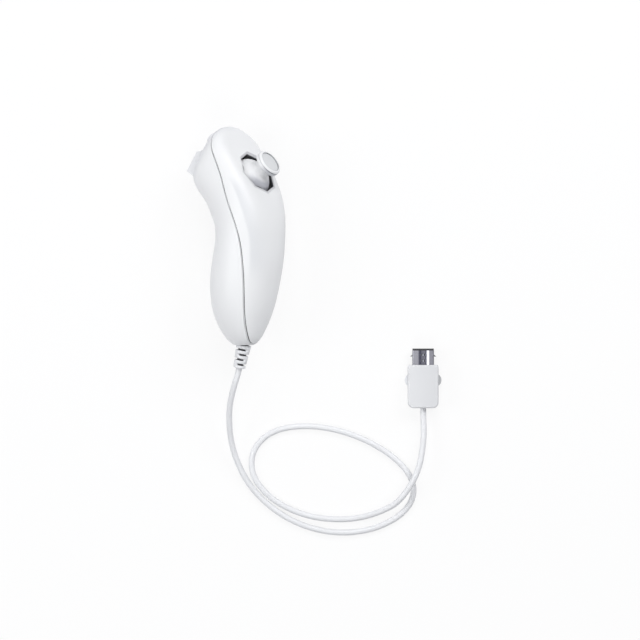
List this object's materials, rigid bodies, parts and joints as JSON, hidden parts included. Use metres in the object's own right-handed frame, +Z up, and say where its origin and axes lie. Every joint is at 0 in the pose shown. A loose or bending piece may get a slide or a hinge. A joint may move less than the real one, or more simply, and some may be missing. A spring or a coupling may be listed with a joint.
{
  "type": "motion controller wand",
  "caption": "Handheld white motion controller wand with a thumbstick, front button and trigger, lying on its flank with its cord looped beside it and a latching plug.",
  "frame": {"origin": "on the table under the middle of the wand's bounding box, cord and plug left out", "axes": "+Z up from the table, +Y along the wand from its cord end to its nose, +X to the side the thumbstick leans to"},
  "size_m": [0.1315, 0.2114, 0.0461],
  "materials": {
    "shell_white": "smooth white moulded plastic with a soft gloss",
    "stick_white": "satin white plastic of the thumbstick cap",
    "button_white": "white plastic, a little greyer than the shells",
    "dark_plastic": "black moulded plastic",
    "inner_plastic": "dark grey moulded plastic",
    "circuit_board": "green lacquered board",
    "chip": "black chip package",
    "ribbon": "amber flexible ribbon",
    "wire_red": "insulated wires",
    "steel": "plain steel",
    "plug_metal": "bright plated sheet metal",
    "contact_gold": "gold plated contacts",
    "pad_rubber": "grey silicone rubber",
    "cord_rubber": "light grey flexible jacket"
  },
  "bodies": {
    "wand": {"board_screw_1": "steel", "board_screw_2": "steel", "board_screw_3": "steel", "board_screw_4": "steel", "bottom_shell": "shell_white", "button_board": "circuit_board", "button_pad": "pad_rubber", "button_ribbon": "ribbon", "button_screw_1": "steel", "button_screw_2": "steel", "button_screw_3": "steel", "button_screw_4": "steel", "contact_block": "dark_plastic", "controller_chip": "chip", "cord": "cord_rubber", "cord_wires": "wire_red", "gimbal_dome": "dark_plastic", "latch_pin_left": "steel", "latch_pin_right": "steel", "main_board": "circuit_board", "motion_sensor_chip": "chip", "plug_contacts": "contact_gold", "plug_front_cover": "shell_white", "plug_rear_cover": "shell_white", "plug_shield": "plug_metal", "rear_sensor": "dark_plastic", "shell_screw_1": "steel", "shell_screw_2": "steel", "side_sensor": "dark_plastic", "spring_seat": "inner_plastic", "stick_base": "steel", "stick_housing": "inner_plastic", "stick_ribbon": "ribbon", "stick_screw_1": "steel", "stick_screw_2": "steel", "stick_screw_3": "steel", "stick_screw_4": "steel", "stick_spring": "steel", "strain_relief": "cord_rubber", "top_shell": "shell_white", "trigger_pin": "steel", "wire_plug": "inner_plastic", "wire_socket": "inner_plastic"},
    "inner_rocker": {"inner_rocker": "inner_plastic", "gimbal_pin": "steel"},
    "stick": {"stick_stem": "steel", "stick_cap": "stick_white"},
    "outer_rocker": {"outer_rocker": "inner_plastic"},
    "upper_button": {"upper_button": "button_white"},
    "trigger": {"trigger": "button_white"},
    "latch_left": {"latch_left": "shell_white", "latch_spring_left": "steel"},
    "latch_right": {"latch_right": "shell_white", "latch_spring_right": "steel"}
  },
  "joints": [
    {"name": "stick_side_tilt", "type": "hinge", "parent": "wand", "child": "inner_rocker", "pos_m": [0.00532, 0.02787, 0.02554], "axis": [0.5664, 0, -0.8241], "range_deg": [-16, 16], "stiffness_Nm_per_rad": 0.02},
    {"name": "stick_nose_tilt", "type": "hinge", "parent": "inner_rocker", "child": "stick", "pos_m": [0.00532, 0.02787, 0.02554], "axis": [-0.4549, 0.8339, -0.3126], "range_deg": [-16, 16], "stiffness_Nm_per_rad": 0.02},
    {"name": "outer_rocker_tilt", "type": "hinge", "parent": "wand", "child": "outer_rocker", "pos_m": [0.00532, 0.02787, 0.02554], "axis": [-0.4549, 0.8339, -0.3126], "range_deg": [-16, 16]},
    {"name": "upper_button_press", "type": "slide", "parent": "wand", "child": "upper_button", "axis": [0.7229, -0.4802, 0.4968], "range_m": [0, 0.001], "stiffness_N_per_m": 20, "springref_m": -0.002, "deforming": ["button_pad"]},
    {"name": "trigger_pull", "type": "hinge", "parent": "wand", "child": "trigger", "pos_m": [-0.0088, 0.04192, 0.01583], "axis": [-0.5664, 0, 0.8241], "range_deg": [0, 7], "stiffness_Nm_per_rad": 0.003, "springref_deg": -11.46, "deforming": ["button_pad"]},
    {"name": "latch_left_press", "type": "hinge", "parent": "wand", "child": "latch_left", "pos_m": [0.09215, -0.0854, 0.00475], "axis": [0, 0, -1], "range_deg": [0, 3], "stiffness_Nm_per_rad": 0.001, "springref_deg": -5.73},
    {"name": "latch_right_press", "type": "hinge", "parent": "wand", "child": "latch_right", "pos_m": [0.10105, -0.0854, 0.00475], "axis": [0, 0, 1], "range_deg": [0, 3], "stiffness_Nm_per_rad": 0.001, "springref_deg": -5.73}
  ],
  "couplings": [
    {"joint": "outer_rocker_tilt", "follows": "stick_nose_tilt", "ratio": 1}
  ]
}
